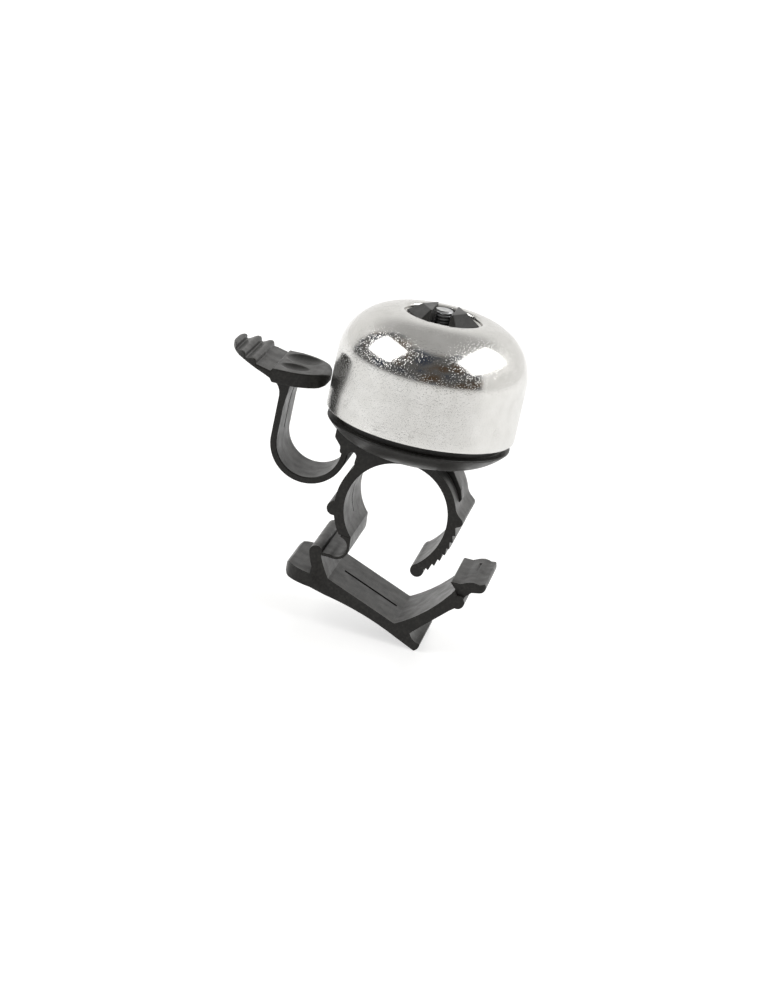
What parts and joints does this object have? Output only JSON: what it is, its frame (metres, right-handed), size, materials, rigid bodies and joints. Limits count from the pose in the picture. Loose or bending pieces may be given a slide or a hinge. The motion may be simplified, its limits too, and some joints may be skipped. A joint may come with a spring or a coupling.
{
  "type": "bicycle bell",
  "caption": "Domed bicycle bell with a sprung thumb hammer, on a one-piece moulded base that straps round a handlebar with a toothed arm and a hinged lever.",
  "frame": {"origin": "centre of the handlebar seat, on the handlebar's axis, midway along the clamp", "axes": "+Y along the handlebar, +Z from the bar towards the top of the dome, +X towards the toothed arm; the hammer is at -X"},
  "size_m": [0.0668, 0.042, 0.0744],
  "materials": {
    "polished_aluminium": "polished, fine spun grain, light scratches near the rim",
    "moulded_nylon": "charcoal, satin injection-moulded",
    "zinc_steel": "zinc-plated thread"
  },
  "bodies": {
    "base": {"bell_dome": "polished_aluminium", "base_dish": "moulded_nylon", "centre_post": "moulded_nylon", "snap_prongs": "moulded_nylon", "centre_screw": "zinc_steel", "saddle_block": "moulded_nylon", "fixed_arm": "moulded_nylon", "hammer_spring": "moulded_nylon", "hinge_loop": "moulded_nylon", "arm_flexure": "moulded_nylon"},
    "hammer": {"hammer_leg": "moulded_nylon", "striker": "moulded_nylon", "thumb_pad": "moulded_nylon", "grip_ridges": "moulded_nylon"},
    "clasp_arm": {"toothed_arm": "moulded_nylon"},
    "lever": {"lever_post": "moulded_nylon", "thumb_tab": "moulded_nylon", "lever_strap": "moulded_nylon", "latch_arm": "moulded_nylon", "heel": "moulded_nylon", "pull_tab": "moulded_nylon"}
  },
  "joints": [
    {"name": "hammer_swing", "type": "hinge", "parent": "base", "child": "hammer", "pos_m": [-0.0221, 0, 0.0094], "axis": [0, -1, 0], "range_deg": [-1.2, 22], "stiffness_Nm_per_rad": 0.23, "deforming": ["hammer_spring"]},
    {"name": "lever_hinge", "type": "hinge", "parent": "base", "child": "lever", "pos_m": [-0.0112, 0, -0.0105], "axis": [0, -1, 0], "range_deg": [-45, 17], "stiffness_Nm_per_rad": 0.05, "deforming": ["hinge_loop"]},
    {"name": "clasp_flex", "type": "hinge", "parent": "base", "child": "clasp_arm", "pos_m": [0.0044, 0, 0.0116], "axis": [0, -1, 0], "range_deg": [-3, 3], "stiffness_Nm_per_rad": 2, "deforming": ["arm_flexure"]}
  ]
}
